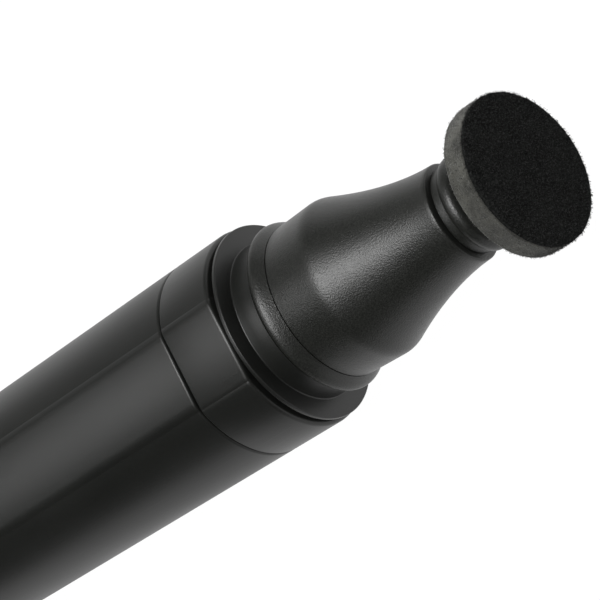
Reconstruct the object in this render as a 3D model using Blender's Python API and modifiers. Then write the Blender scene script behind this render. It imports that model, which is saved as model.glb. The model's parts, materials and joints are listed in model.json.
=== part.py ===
"""Lens cleaning pen without its cap, lying along X with its cleaning pad at +X.

The barrel has two opposite flats and lies on the lower one. A thumb slider on the upper flat
pushes a dust brush out of the rear end. At the front a flared bell carries a round pad on a
ball pivot. Units are metres, +Z is up, and the origin is under the middle of the pen.
"""

import math

import bmesh
import bpy
from mathutils import Matrix

MM = 0.001

# Driving dimensions
OVERALL_LENGTH = 114.0 * MM
BARREL_R = 8.0 * MM
FLAT_HEIGHT = 7.47 * MM  # from the pen's axis to a flat of the barrel
COLLAR_FLAT_HEIGHT = 7.37 * MM
COLLAR_TURN = math.radians(1.5)
BORE_R = 6.6 * MM
SHOULDER_R = 7.85 * MM  # round all the way, so the pen rests on it
FIT = 0.1 * MM  # clearance around a piece that sits in another
GLUE = 0.05 * MM  # layer between two glued faces
SEAM = 0.12 * MM  # visible joint line between two mouldings

# Stations along the pen, measured forward from the barrel's front end
COLLAR_FRONT = 4.93 * MM
SHOULDER_REAR = 5.4 * MM
SHOULDER_FRONT = 5.72 * MM
BELL_COUNTERBORE = 6.5 * MM  # floor of the hole in the neck that the bell's spigot sits in
NECK_FRONT = 7.45 * MM
SNAP_FRONT = 9.0 * MM
CREASE = 12.75 * MM
BELL_FRONT = 22.0 * MM
BEAD_CROWN_REAR = 22.65 * MM
BEAD_FRONT = 23.8 * MM
PIVOT = 25.0 * MM
BULKHEAD_REAR = -10.0 * MM
CORE_REAR = -8.0 * MM
CORE_STEP = 12.5 * MM  # where the spindle starts to get thinner
BELL_BORE_STEP = 14.0 * MM
BELL_BORE_END = 21.0 * MM  # where the bell's bore has narrowed to the spindle's front part
STUD_REAR = 16.0 * MM
STUD_BORE_END = 15.5 * MM
SLEEVE_FRONT = -37.0 * MM

# Radii of the bell and the rings next to it
NECK_R = 6.3 * MM
NECK_FILLET = 0.25 * MM  # where the neck meets the shoulder
SNAP_R = 6.75 * MM
SNAP_SKEW = 0.6  # below 1 the snap ring is highest near its rear
BAND_R = 6.15 * MM
CREASE_R = 6.27 * MM
BELL_TIP_R = 3.78 * MM
BELL_CURVE = 1.7  # exponent of the bell's hollow taper
BEAD_R = 3.65 * MM
GROOVE_R = 3.3 * MM
BELL_REAR_R = 5.0 * MM
CORE_SPIGOT_R = 3.2 * MM
CORE_R = 2.2 * MM
STUD_R = 0.7 * MM
NOSE_R = 1.5 * MM

# Ball pivot and pad, measured from the ball's centre along the pad's own axis
BALL_R = 1.25 * MM
LINER_INNER_R = BALL_R + 0.07 * MM
LINER_OUTER_R = 1.6 * MM
CUP_INNER_R = LINER_OUTER_R + 0.08 * MM
CUP_OUTER_R = 2.2 * MM
SEAT_R = 2.5 * MM
CUP_LIP = math.radians(110)  # how far the snap cup wraps round the ball
PLATE_BACK = 0.9 * MM
PAD_BACK = 1.35 * MM
PAD_FACE = 3.41 * MM
FACE_THICKNESS = 0.35 * MM
POCKET_R = 1.85 * MM  # of the hollow in the felt's back that takes the cup's dome
PAD_R = 5.7 * MM
FACE_R = 5.62 * MM
PLATE_R = 4.7 * MM
PAD_PITCH = math.radians(11.8)  # how the pad stands at rest, tipped towards +Z
PAD_YAW = math.radians(-2.2)  # and turned towards -Y

# Brush, slider and rear end
BRUSH_TRAVEL = 27.0 * MM
CARRIAGE_FRONT = -39.0 * MM
CARRIAGE_REAR = -51.0 * MM
CARRIAGE_R = 5.8 * MM
POST_CENTRE = -45.0 * MM
POST_LENGTH = 5.0 * MM
POST_WIDTH = 2.8 * MM
POST_IN_SLIDER = 1.0 * MM  # how far the post reaches into the slider
SLOT_PLAY = 0.2 * MM
SLIDER_LENGTH = 13.0 * MM
SLIDER_WIDTH = 6.0 * MM
SLIDER_THICKNESS = 2.2 * MM
SLIDER_LIFT = 0.2 * MM
SLIDER_GRIPS = 5
GRIP_PITCH = 1.5 * MM
GRIP_R = 0.5 * MM
SPRING_LENGTH = 7.0 * MM
SPRING_WIDTH = 2.4 * MM
SPRING_THICKNESS = 0.15 * MM
SPRING_SEAT = -4.4 * MM  # floor of the spring's pocket, from the pen's axis
SOCKET_DEPTH = 4.0 * MM  # of the hole in the carriage that holds the ferrule
FERRULE_R = 3.9 * MM
FERRULE_WALL = 0.3 * MM
FERRULE_FRONT = -48.0 * MM
FERRULE_MOUTH = -60.0 * MM
CRIMP_STARTS = (-53.5 * MM, -56.0 * MM)
CRIMP_WIDTH = 1.0 * MM
CRIMP_DEPTH = 0.15 * MM
PLUG_LENGTH = 2.5 * MM
TUFT_ROOT = -51.2 * MM
TUFT_TIP = -83.2 * MM
TUFT_R = 4.1 * MM
NOSE_JOINT = -81.1 * MM
NOSE_BORE_R = 4.7 * MM
NOSE_SPIGOT_LENGTH = 2.4 * MM
NOSE_SPIGOT_BORE_R = 5.6 * MM
NOSE_ROUND = 2.2 * MM

# Derived places
PAD_TILT = math.acos(math.cos(PAD_PITCH) * math.cos(PAD_YAW))
PAD_REACH = PIVOT + PAD_FACE * math.cos(PAD_TILT) + FACE_R * math.sin(PAD_TILT)
NOSE_END = PAD_REACH - OVERALL_LENGTH
SEAM_X = OVERALL_LENGTH / 2 - PAD_REACH  # X of the barrel's front end
AXIS_Z = SHOULDER_R  # height of the pen's axis above the surface it lies on

ROUND = 40  # sides of the large round pieces
SMALL_ROUND = 24
ALONG_PEN = (0, math.pi / 2, 0)  # turns a piece made along Z to lie along X

BLACK_SATIN = ("black_satin_plastic", (0.022, 0.022, 0.022), 0.38, 0.0)
BLACK_GRAINED = ("black_grained_plastic", (0.030, 0.030, 0.029), 0.48, 0.0)
BLACK_NYLON = ("black_nylon", (0.030, 0.030, 0.032), 0.55, 0.0)
WHITE_ACETAL = ("white_acetal", (0.75, 0.74, 0.70), 0.4, 0.0)
POLISHED_STEEL = ("polished_steel", (0.62, 0.62, 0.62), 0.22, 1.0)
SPRING_STEEL = ("spring_steel", (0.50, 0.50, 0.50), 0.3, 1.0)
NICKELLED_BRASS = ("nickelled_brass", (0.66, 0.65, 0.62), 0.25, 1.0)
GREY_FELT = ("grey_felt", (0.075, 0.072, 0.062), 0.95, 0.0)
BLACK_CHAMOIS = ("black_chamois", (0.008, 0.008, 0.008), 1.0, 0.0)
GOAT_HAIR = ("goat_hair", (0.20, 0.13, 0.08), 0.7, 0.0)
AMBER_RESIN = ("amber_resin", (0.35, 0.20, 0.06), 0.35, 0.0)


def clear_scene():
    """Start from an empty file."""
    for item in list(bpy.data.objects):
        bpy.data.objects.remove(item, do_unlink=True)


def new_collection(name):
    collection = bpy.data.collections.new(name)
    bpy.context.scene.collection.children.link(collection)
    return collection


def material(finish):
    """One Principled material for each finish, made the first time it is asked for."""
    name, colour, roughness, metallic = finish
    found = bpy.data.materials.get(name)
    if found:
        return found
    made = bpy.data.materials.new(name)
    made.use_nodes = True
    shader = made.node_tree.nodes["Principled BSDF"]
    shader.inputs["Base Color"].default_value = (*colour, 1.0)
    shader.inputs["Roughness"].default_value = roughness
    shader.inputs["Metallic"].default_value = metallic
    return made


def empty(name, location, rotation=(0, 0, 0), parent=None):
    """A pivot or slide origin that moving pieces hang from."""
    point = bpy.data.objects.new(name, None)
    point.empty_display_size = 4 * MM
    point.location = location
    point.rotation_euler = rotation
    point.parent = parent
    PARTS.objects.link(point)
    return point


def add_object(name, mesh, parent, finish=None):
    """Put a mesh in the parts collection, or among the cutters if it has no finish."""
    item = bpy.data.objects.new(name, mesh)
    item.parent = parent
    if finish:
        mesh.materials.append(material(finish))
        PARTS.objects.link(item)
    else:
        item.hide_render = True
        item.display_type = "WIRE"
        CUTTERS.objects.link(item)
    return item


def arc(centre, radius, start, end, count):
    """Points (station, radius) of an arc; angles in degrees from forward, towards the outside."""
    turns = [math.radians(start + (end - start) * i / count) for i in range(count + 1)]
    return [(centre[0] + radius * math.cos(a), centre[1] + radius * math.sin(a)) for a in turns]


def turned(name, outline, finish, parent, sides=ROUND, closed=True):
    """A piece turned on the pen's axis from an outline of (station, radius) points.

    The outline runs from the front down the outside to the rear, and back through the bore.
    Without a bore it starts and ends on the axis and stays open.
    """
    mesh = bpy.data.meshes.new(name)
    points = [(radius, 0.0, station) for station, radius in outline]
    edges = [(i, i + 1) for i in range(len(points) - 1)]
    if closed:
        edges.append((len(points) - 1, 0))
    mesh.from_pydata(points, edges, [])
    item = add_object(name, mesh, parent, finish)
    item.rotation_euler = ALONG_PEN
    screw = item.modifiers.new("Turn", "SCREW")
    screw.axis = "Z"
    screw.angle = math.tau
    screw.steps = sides
    screw.render_steps = sides
    screw.use_merge_vertices = True
    screw.merge_threshold = 1e-6
    return item


def prism_mesh(name, outline, low, high):
    """A closed solid over a flat outline of (x, y) points, from height low to high."""
    mesh = bpy.data.meshes.new(name)
    form = bmesh.new()
    floor = form.faces.new([form.verts.new((x, y, low)) for x, y in outline])
    raised = bmesh.ops.extrude_face_region(form, geom=[floor])
    top = [v for v in raised["geom"] if isinstance(v, bmesh.types.BMVert)]
    bmesh.ops.translate(form, verts=top, vec=(0, 0, high - low))
    bmesh.ops.recalc_face_normals(form, faces=form.faces)
    form.to_mesh(mesh)
    form.free()
    return mesh


def stadium(centre_x, length, width, count=8):
    """Outline of a slot: two half circles joined by straight sides."""
    reach = (length - width) / 2
    points = []
    for side in (1, -1):
        for i in range(count + 1):
            a = -math.pi / 2 + math.pi * i / count
            x = centre_x + side * (reach + width / 2 * math.cos(a))
            points.append((x, side * width / 2 * math.sin(a)))
    return points


def combine(item, other, operation):
    modifier = item.modifiers.new(operation.title(), "BOOLEAN")
    modifier.operation = operation
    modifier.solver = "EXACT"
    modifier.object = other


def cut_flats(item, height, turn=0.0):
    """Cut two opposite flats, top and bottom, at a height from the pen's axis."""
    depth = 2 * MM
    for side in (1, -1):
        mesh = bpy.data.meshes.new("flat_cutter")
        form = bmesh.new()
        bmesh.ops.create_cube(form, size=1.0)
        size = Matrix.Diagonal((3 * OVERALL_LENGTH, 4 * BARREL_R, depth, 1))
        place = Matrix.Translation((0, 0, side * (height + depth / 2)))
        bmesh.ops.transform(form, matrix=Matrix.Rotation(turn, 4, "X") @ place @ size, verts=form.verts)
        form.to_mesh(mesh)
        form.free()
        cutter = add_object(f"{item.name}_flat_{'low' if side < 0 else 'high'}", mesh, BASE)
        combine(item, cutter, "DIFFERENCE")


def settle(item):
    """Apply a piece's modifiers, and shade its round faces smooth with sharp edges kept."""
    graph = bpy.context.evaluated_depsgraph_get()
    mesh = bpy.data.meshes.new_from_object(item.evaluated_get(graph), depsgraph=graph)
    mesh.name = item.name
    item.modifiers.clear()
    item.data = mesh
    mesh.shade_smooth()
    mesh.set_sharp_from_angle(angle=math.radians(32))


def barrel_shell():
    edge = 0.25 * MM
    outline = [
        *arc((-SEAM - edge, BARREL_R - edge), edge, 0, 90, 3),
        (NOSE_JOINT + SEAM, BARREL_R),
        (NOSE_JOINT + SEAM, BORE_R),
        (-SEAM, BORE_R),
    ]
    shell = turned("barrel_shell", outline, BLACK_SATIN, BASE)
    cut_flats(shell, FLAT_HEIGHT)
    slot = stadium(
        POST_CENTRE - BRUSH_TRAVEL / 2,
        BRUSH_TRAVEL + POST_LENGTH + 2 * SLOT_PLAY,
        POST_WIDTH + 2 * SLOT_PLAY,
    )
    slot_mesh = prism_mesh("slider_slot", slot, BORE_R - 2 * MM, BARREL_R + MM)
    cutter = add_object("slider_slot", slot_mesh, BASE)
    combine(shell, cutter, "DIFFERENCE")


def front_collar():
    edge = 0.35 * MM
    outline = [
        *arc((COLLAR_FRONT - edge, BARREL_R - edge), edge, 0, 90, 4),
        (0, BARREL_R),
        (0, BORE_R),
        (COLLAR_FRONT, BORE_R),
    ]
    collar = turned("front_collar", outline, BLACK_SATIN, BASE)
    cut_flats(collar, COLLAR_FLAT_HEIGHT, COLLAR_TURN)


def bulkhead_plug():
    front = COLLAR_FRONT - 0.5 * MM
    outline = [
        (front, BORE_R - FIT),
        (BULKHEAD_REAR, BORE_R - FIT),
        (BULKHEAD_REAR, CORE_SPIGOT_R + FIT),
        (front, CORE_SPIGOT_R + FIT),
    ]
    turned("bulkhead_plug", outline, BLACK_NYLON, BASE)


def neck_socket():
    """Narrow round shoulder just ahead of the collar, then the neck that the cap slides over."""
    edge = 0.08 * MM
    rear = COLLAR_FRONT - 0.4 * MM
    foot = SHOULDER_FRONT + NECK_FILLET
    outline = [
        (NECK_FRONT, NECK_R),
        *arc((foot, NECK_R + NECK_FILLET), NECK_FILLET, 270, 180, 3),
        *arc((SHOULDER_FRONT - edge, SHOULDER_R - edge), edge, 0, 90, 2),
        *arc((SHOULDER_REAR + edge, SHOULDER_R - edge), edge, 90, 180, 2),
        (SHOULDER_REAR, BORE_R - FIT),
        (rear, BORE_R - FIT),
        (rear, CORE_SPIGOT_R + FIT),
        (BELL_COUNTERBORE, CORE_SPIGOT_R + FIT),
        (BELL_COUNTERBORE, BELL_REAR_R),
        (NECK_FRONT, BELL_REAR_R),
    ]
    turned("neck_socket", outline, BLACK_SATIN, BASE)


def cap_snap_ring():
    """Low bead that the cap clicks over, steep at the rear and sloping down to the front."""
    rear = NECK_FRONT + FIT
    width = SNAP_FRONT - rear
    foot = BAND_R
    steps = 8
    crown = []
    for i in range(steps, -1, -1):
        share = i / steps
        crown.append((rear + width * share, foot + (SNAP_R - foot) * math.sin(math.pi * share**SNAP_SKEW)))
    outline = [*crown, (rear, BELL_REAR_R), (SNAP_FRONT, BELL_REAR_R)]
    turned("cap_snap_ring", outline, BLACK_GRAINED, BASE)


def bell_radius(station):
    """Outer radius of the bell's hollow taper between the crease and its front rim."""
    share = (station - CREASE) / (BELL_FRONT - CREASE)
    return BELL_TIP_R + (CREASE_R - BELL_TIP_R) * (1 - share) ** BELL_CURVE


def tip_bell():
    rear = SNAP_FRONT + FIT
    spigot_rear = BELL_COUNTERBORE + FIT
    taper_steps = 9
    stations = [BELL_FRONT + (CREASE - BELL_FRONT) * i / taper_steps for i in range(taper_steps + 1)]
    outline = [
        *[(s, bell_radius(s)) for s in stations],
        (rear, BAND_R),
        (rear, BELL_REAR_R - FIT),
        (spigot_rear, BELL_REAR_R - FIT),
        (spigot_rear, CORE_SPIGOT_R + FIT),
        (BELL_BORE_STEP, CORE_SPIGOT_R + FIT),
        (BELL_BORE_END, CORE_R + FIT),
        (BELL_FRONT, CORE_R + FIT),
    ]
    turned("tip_bell", outline, BLACK_GRAINED, BASE)


def tip_core():
    """Spindle that ties the bulkhead, the neck, the bell and the bead together."""
    nose = PIVOT - 2.0 * MM
    bore = STUD_R + GLUE
    outline = [
        (STUD_BORE_END, 0),
        (STUD_BORE_END, bore),
        (nose, bore),
        (nose, NOSE_R),
        (BELL_FRONT + FIT, NOSE_R),
        (BELL_FRONT - FIT, CORE_R),
        (CORE_STEP + 1.0 * MM, CORE_R),
        (CORE_STEP, CORE_SPIGOT_R),
        (CORE_REAR, CORE_SPIGOT_R),
        (CORE_REAR, 0),
    ]
    turned("tip_core", outline, BLACK_NYLON, BASE, SMALL_ROUND, closed=False)


def tip_bead():
    """Rounded ring at the bell's mouth, dished in front to clear the pivot cup."""
    rear = BELL_FRONT + FIT
    bore = NOSE_R + FIT
    middle = (BEAD_CROWN_REAR + BEAD_FRONT) / 2
    half = (BEAD_FRONT - BEAD_CROWN_REAR) / 2
    dish_start = math.degrees(math.acos((BEAD_FRONT - PIVOT) / SEAT_R))
    dish_end = 180 - math.degrees(math.asin(bore / SEAT_R))
    crown_end = 180 - math.degrees(math.asin((GROOVE_R - BEAD_R + half) / half))
    outline = [
        *arc((middle, BEAD_R - half), half, 0, crown_end, 6),
        (rear, GROOVE_R),
        (rear, bore),
        *arc((PIVOT, 0), SEAT_R, dish_end, dish_start, 2),
    ]
    turned("tip_bead", outline, BLACK_GRAINED, BASE)


def ball_stud():
    neck_turn = 180 - math.degrees(math.asin(STUD_R / BALL_R))
    outline = [
        *arc((PIVOT, 0), BALL_R, 0, neck_turn, 9),
        (STUD_REAR, STUD_R),
        (STUD_REAR, 0),
    ]
    turned("ball_stud", outline, POLISHED_STEEL, BASE, SMALL_ROUND, closed=False)


def pivot_liner():
    """Thin bearing shell between the ball and the pad's snap cup."""
    lip = math.degrees(CUP_LIP) + 2
    outline = [
        *arc((0, 0), LINER_OUTER_R, 0, lip, 7),
        *arc((0, 0), LINER_INNER_R, lip, 0, 7),
    ]
    turned("pivot_liner", outline, WHITE_ACETAL, PITCH_PIVOT, SMALL_ROUND, closed=False)


def pad_carrier():
    """Round plate with the snap cup that grips the ball."""
    plate_front = PAD_BACK - GLUE
    dome_end = math.degrees(math.acos(plate_front / CUP_OUTER_R))
    cup_start = math.degrees(math.acos(PLATE_BACK / CUP_OUTER_R))
    lip = math.degrees(CUP_LIP)
    edge = (plate_front - PLATE_BACK) / 2
    outline = [
        *arc((0, 0), CUP_OUTER_R, 0, dome_end, 3),
        *arc((PLATE_BACK + edge, PLATE_R - edge), edge, 0, 180, 4),
        *arc((0, 0), CUP_OUTER_R, cup_start, lip, 3),
        *arc((0, 0), CUP_INNER_R, lip, 0, 7),
    ]
    turned("pad_carrier", outline, BLACK_NYLON, YAW_PIVOT, SMALL_ROUND, closed=False)


def pad_backing():
    """Felt puck glued to the plate, with a pocket over the snap cup's dome."""
    front = PAD_FACE - FACE_THICKNESS - GLUE
    pocket_end = CUP_OUTER_R + FIT
    outline = [
        (front, 0),
        (front, PAD_R - 0.05 * MM),
        (front - 0.15 * MM, PAD_R),
        (PAD_BACK + 0.2 * MM, PAD_R),
        (PAD_BACK, PAD_R - 0.15 * MM),
        (PAD_BACK, POCKET_R),
        (pocket_end, POCKET_R),
        (pocket_end, 0),
    ]
    turned("pad_backing", outline, GREY_FELT, YAW_PIVOT, closed=False)


def cleaning_pad():
    """Flocked chamois face that wipes the lens."""
    rear = PAD_FACE - FACE_THICKNESS
    outline = [
        (PAD_FACE, 0),
        (PAD_FACE, FACE_R - 0.1 * MM),
        (PAD_FACE - 0.1 * MM, FACE_R),
        (rear, FACE_R),
        (rear, 0),
    ]
    turned("cleaning_pad", outline, BLACK_CHAMOIS, YAW_PIVOT, closed=False)


def guide_sleeve():
    """Slotted liner of the barrel that the brush carriage runs in."""
    outer = BORE_R - FIT
    inner = CARRIAGE_R + FIT
    rear = NOSE_JOINT + NOSE_SPIGOT_LENGTH + 0.3 * MM
    outline = [(SLEEVE_FRONT, outer), (rear, outer), (rear, inner), (SLEEVE_FRONT, inner)]
    sleeve = turned("guide_sleeve", outline, WHITE_ACETAL, BASE)
    slot = stadium(
        POST_CENTRE - BRUSH_TRAVEL / 2,
        BRUSH_TRAVEL + POST_LENGTH + 4 * SLOT_PLAY,
        POST_WIDTH + 4 * SLOT_PLAY,
    )
    slot_mesh = prism_mesh("sleeve_slot", slot, BORE_R - 2 * MM, BARREL_R)
    cutter = add_object("sleeve_slot", slot_mesh, BASE)
    combine(sleeve, cutter, "DIFFERENCE")


def rear_nose_ring():
    """Rounded end piece, pressed into the barrel, with the hole that the brush comes out of."""
    spigot_front = NOSE_JOINT + NOSE_SPIGOT_LENGTH
    lip = 0.3 * MM
    outline = [
        (NOSE_JOINT, BARREL_R),
        *arc((NOSE_END + NOSE_ROUND, BARREL_R - NOSE_ROUND), NOSE_ROUND, 90, 180, 5),
        *arc((NOSE_END + lip, NOSE_BORE_R + lip), lip, 180, 270, 2),
        (NOSE_JOINT - 0.5 * MM, NOSE_BORE_R),
        (NOSE_JOINT + 0.4 * MM, NOSE_SPIGOT_BORE_R),
        (spigot_front, NOSE_SPIGOT_BORE_R),
        (spigot_front, BORE_R - FIT),
        (NOSE_JOINT, BORE_R - FIT),
    ]
    ring = turned("rear_nose_ring", outline, BLACK_SATIN, BASE)
    cut_flats(ring, FLAT_HEIGHT)


def brush_carriage():
    """Runner that holds the brush, with the post that rises through the slot."""
    socket_end = CARRIAGE_REAR + SOCKET_DEPTH
    socket_r = FERRULE_R + GLUE
    edge = 0.4 * MM
    outline = [
        (CARRIAGE_FRONT, 0),
        (CARRIAGE_FRONT, CARRIAGE_R - edge),
        (CARRIAGE_FRONT - edge, CARRIAGE_R),
        (CARRIAGE_REAR + edge, CARRIAGE_R),
        (CARRIAGE_REAR, CARRIAGE_R - edge),
        (CARRIAGE_REAR, socket_r),
        (socket_end, socket_r),
        (socket_end, 0),
    ]
    carriage = turned("brush_carriage", outline, BLACK_NYLON, BRUSH_SLIDE, SMALL_ROUND, closed=False)
    post_top = FLAT_HEIGHT + SLIDER_LIFT + POST_IN_SLIDER
    post_outline = stadium(POST_CENTRE, POST_LENGTH, POST_WIDTH)
    post_mesh = prism_mesh("slider_post", post_outline, CARRIAGE_R - 1.3 * MM, post_top)
    post = add_object("slider_post", post_mesh, BRUSH_SLIDE)
    combine(carriage, post, "UNION")
    pocket = stadium(POST_CENTRE, SPRING_LENGTH + 3.0 * MM, SPRING_WIDTH + 0.6 * MM)
    pocket_mesh = prism_mesh("spring_pocket", pocket, -(CARRIAGE_R + MM), SPRING_SEAT)
    combine(carriage, add_object("spring_pocket", pocket_mesh, BRUSH_SLIDE), "DIFFERENCE")


def detent_spring():
    """Bowed leaf under the carriage, whose crest drags on the sleeve and holds the brush."""
    steps = 12
    ends = SPRING_SEAT - 0.1 * MM
    crest = -(CARRIAGE_R - 0.15 * MM)
    mesh = bpy.data.meshes.new("detent_spring")
    points = []
    for i in range(steps + 1):
        share = i / steps
        x = POST_CENTRE + (share - 0.5) * SPRING_LENGTH
        z = ends + (crest - ends + SPRING_THICKNESS) * math.sin(math.pi * share) ** 2
        points += [(x, SPRING_WIDTH / 2, z), (x, -SPRING_WIDTH / 2, z)]
    faces = [(2 * i, 2 * i + 2, 2 * i + 3, 2 * i + 1) for i in range(steps)]
    mesh.from_pydata(points, [], faces)
    spring = add_object("detent_spring", mesh, BRUSH_SLIDE, SPRING_STEEL)
    wall = spring.modifiers.new("Wall", "SOLIDIFY")
    wall.thickness = SPRING_THICKNESS
    wall.offset = 1.0


def thumb_slider():
    """Button on the upper flat, pocketed over the post and grooved across for the thumb."""
    low = FLAT_HEIGHT + SLIDER_LIFT
    high = low + SLIDER_THICKNESS
    outline = stadium(POST_CENTRE, SLIDER_LENGTH, SLIDER_WIDTH)
    button_mesh = prism_mesh("thumb_slider", outline, low, high)
    slider = add_object("thumb_slider", button_mesh, BRUSH_SLIDE, BLACK_SATIN)
    bevel = slider.modifiers.new("Edges", "BEVEL")
    bevel.width = 0.45 * MM
    bevel.segments = 2
    bevel.limit_method = "ANGLE"
    pocket = stadium(POST_CENTRE, POST_LENGTH + 2 * FIT, POST_WIDTH + 2 * FIT)
    pocket_mesh = prism_mesh("post_pocket", pocket, low - MM, low + POST_IN_SLIDER + FIT)
    combine(slider, add_object("post_pocket", pocket_mesh, BRUSH_SLIDE), "DIFFERENCE")
    for i in range(SLIDER_GRIPS):
        x = POST_CENTRE + (i - (SLIDER_GRIPS - 1) / 2) * GRIP_PITCH
        mesh = bpy.data.meshes.new("grip_groove")
        form = bmesh.new()
        bmesh.ops.create_cone(
            form, cap_ends=True, segments=12, radius1=GRIP_R, radius2=GRIP_R, depth=2 * SLIDER_WIDTH
        )
        place = Matrix.Translation((x, 0, high + 0.1 * MM)) @ Matrix.Rotation(math.pi / 2, 4, "X")
        bmesh.ops.transform(form, matrix=place, verts=form.verts)
        form.to_mesh(mesh)
        form.free()
        combine(slider, add_object(f"grip_groove_{i + 1}", mesh, BRUSH_SLIDE), "DIFFERENCE")


def brush_ferrule():
    """Metal tube crimped round the hair, with two rolled grooves."""
    inner = FERRULE_R - FERRULE_WALL
    outer_points = [(FERRULE_FRONT, FERRULE_R)]
    inner_points = [(FERRULE_FRONT, inner)]
    for start in CRIMP_STARTS:
        middle = start - CRIMP_WIDTH / 2
        end = start - CRIMP_WIDTH
        outer_points += [(start, FERRULE_R), (middle, FERRULE_R - CRIMP_DEPTH), (end, FERRULE_R)]
        inner_points += [(start, inner), (middle, inner - CRIMP_DEPTH), (end, inner)]
    outer_points.append((FERRULE_MOUTH, FERRULE_R))
    inner_points.append((FERRULE_MOUTH, inner))
    outline = outer_points + inner_points[::-1]
    turned("brush_ferrule", outline, NICKELLED_BRASS, BRUSH_SLIDE, SMALL_ROUND)


def ferrule_plug():
    """Resin that the hair is set in."""
    radius = FERRULE_R - FERRULE_WALL - FIT
    front = FERRULE_FRONT - 0.5 * MM
    rear = front - PLUG_LENGTH
    outline = [(front, 0), (front, radius), (rear, radius), (rear, 0)]
    turned("ferrule_plug", outline, AMBER_RESIN, BRUSH_SLIDE, SMALL_ROUND, closed=False)


def brush_tuft():
    """Full, slightly bulging tuft of soft hair with a rounded tip."""
    root_r = FERRULE_R - FERRULE_WALL - 0.25 * MM
    length = FERRULE_MOUTH - TUFT_TIP
    body_length = 0.9 * length
    narrowing = 0.35  # how much thinner the body is where the rounded tip starts
    steps = 10
    body = []
    for i in range(1, steps + 1):
        share = i / steps
        swell = root_r + (TUFT_R - root_r) * math.sin(math.pi * min(share / 0.9, 1.0))
        body.append((FERRULE_MOUTH - share * body_length, swell * (1 - narrowing * share**3)))
    tip_start, tip_r = body[-1]
    dome = [math.radians(30 * i) for i in range(1, 3)]
    outline = [
        (TUFT_ROOT, 0),
        (TUFT_ROOT, root_r),
        (FERRULE_MOUTH, root_r),
        *body,
        *[(tip_start - (length - body_length) * math.sin(a), tip_r * math.cos(a)) for a in dome],
        (TUFT_TIP, 0),
    ]
    turned("brush_tuft", outline, GOAT_HAIR, BRUSH_SLIDE, SMALL_ROUND, closed=False)


clear_scene()
PARTS = new_collection("lens_cleaning_pen")
CUTTERS = new_collection("cutters")
BASE = empty("pen_axis", (SEAM_X, 0, AXIS_Z))
PITCH_PIVOT = empty("pad_pitch_pivot", (PIVOT, 0, 0), (0, -PAD_PITCH, 0), BASE)
YAW_PIVOT = empty("pad_yaw_pivot", (0, 0, 0), (0, 0, PAD_YAW), PITCH_PIVOT)
BRUSH_SLIDE = empty("brush_slide_axis", (0, 0, 0), (0, 0, 0), BASE)

barrel_shell()
front_collar()
bulkhead_plug()
neck_socket()
cap_snap_ring()
tip_bell()
tip_core()
tip_bead()
ball_stud()
pivot_liner()
pad_carrier()
pad_backing()
cleaning_pad()
guide_sleeve()
rear_nose_ring()
brush_carriage()
detent_spring()
thumb_slider()
brush_ferrule()
ferrule_plug()
brush_tuft()

bpy.context.view_layer.update()
for piece in [item for item in PARTS.objects if item.type == "MESH"]:
    settle(piece)
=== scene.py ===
"""Looks of a lens cleaning pen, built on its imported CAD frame.

Every piece is made in metres where its CAD node says. Turned pieces are drawn as an outline of
(station, radius) points, the station being measured forward along the pen from the joint
between the barrel and the collar.
"""

import json
import math

import bmesh
import bpy
from mathutils import Matrix, Vector, noise


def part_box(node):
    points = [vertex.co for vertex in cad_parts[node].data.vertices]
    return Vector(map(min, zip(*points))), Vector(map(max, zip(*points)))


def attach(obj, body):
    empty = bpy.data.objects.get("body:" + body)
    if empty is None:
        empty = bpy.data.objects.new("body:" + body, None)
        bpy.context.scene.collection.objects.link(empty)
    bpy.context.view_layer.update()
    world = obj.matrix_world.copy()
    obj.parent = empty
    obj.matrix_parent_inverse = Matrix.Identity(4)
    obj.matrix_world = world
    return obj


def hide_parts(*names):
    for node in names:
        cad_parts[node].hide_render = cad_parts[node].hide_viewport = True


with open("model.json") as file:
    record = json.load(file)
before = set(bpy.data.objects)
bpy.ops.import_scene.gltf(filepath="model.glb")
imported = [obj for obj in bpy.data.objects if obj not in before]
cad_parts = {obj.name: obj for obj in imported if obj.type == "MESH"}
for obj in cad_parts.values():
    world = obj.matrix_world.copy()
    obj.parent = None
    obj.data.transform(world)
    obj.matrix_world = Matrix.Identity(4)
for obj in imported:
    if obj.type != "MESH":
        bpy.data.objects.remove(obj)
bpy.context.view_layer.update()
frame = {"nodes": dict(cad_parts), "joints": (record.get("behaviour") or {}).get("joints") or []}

MM = 0.001

# Where things are
SEAM_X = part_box("front_collar")[0].x
AXIS_Z = (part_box("neck_socket")[0].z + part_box("neck_socket")[1].z) / 2
JOINTS = {joint["name"]: joint for joint in frame["joints"]}
PIVOT_POINT = Vector(JOINTS["pad_pitch"]["pos_m"])
PIVOT = PIVOT_POINT.x - SEAM_X

# Sizes that the CAD boxes don't give
FLAT_HEIGHT = 7.47 * MM
COLLAR_FLAT_HEIGHT = 7.37 * MM
COLLAR_TURN = math.radians(1.5)
FLAT_HALF_WIDTH = 3.25 * MM
FLAT_SWELL = 0.42 * MM
BORE = 6.6 * MM
FIT = 0.1 * MM
SEAM = 0.12 * MM
SHOULDER_REAR = 5.4 * MM
SHOULDER_FRONT = 5.72 * MM
BELL_COUNTERBORE = 6.5 * MM
NECK_R = 6.3 * MM
NECK_FILLET = 0.1 * MM
SNAP_SKEW = 0.6
BAND_R = 6.15 * MM
CREASE = 12.75 * MM
CREASE_R = 6.27 * MM
BELL_TIP_R = 3.78 * MM
BELL_CURVE = 1.7
BELL_BORE_STEP = 14.0 * MM
BELL_BORE_END = 21.0 * MM
BEAD_CROWN_REAR = 22.65 * MM
GROOVE_R = 3.3 * MM
BELL_REAR_R = 5.0 * MM
SPIGOT_R = 3.2 * MM
CORE_R = 2.2 * MM
NOSE_R = 1.5 * MM
CUP_SEAT_R = 2.5 * MM
CUP_INNER_R = 1.68 * MM
CUP_OUTER_R = 2.2 * MM
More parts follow.
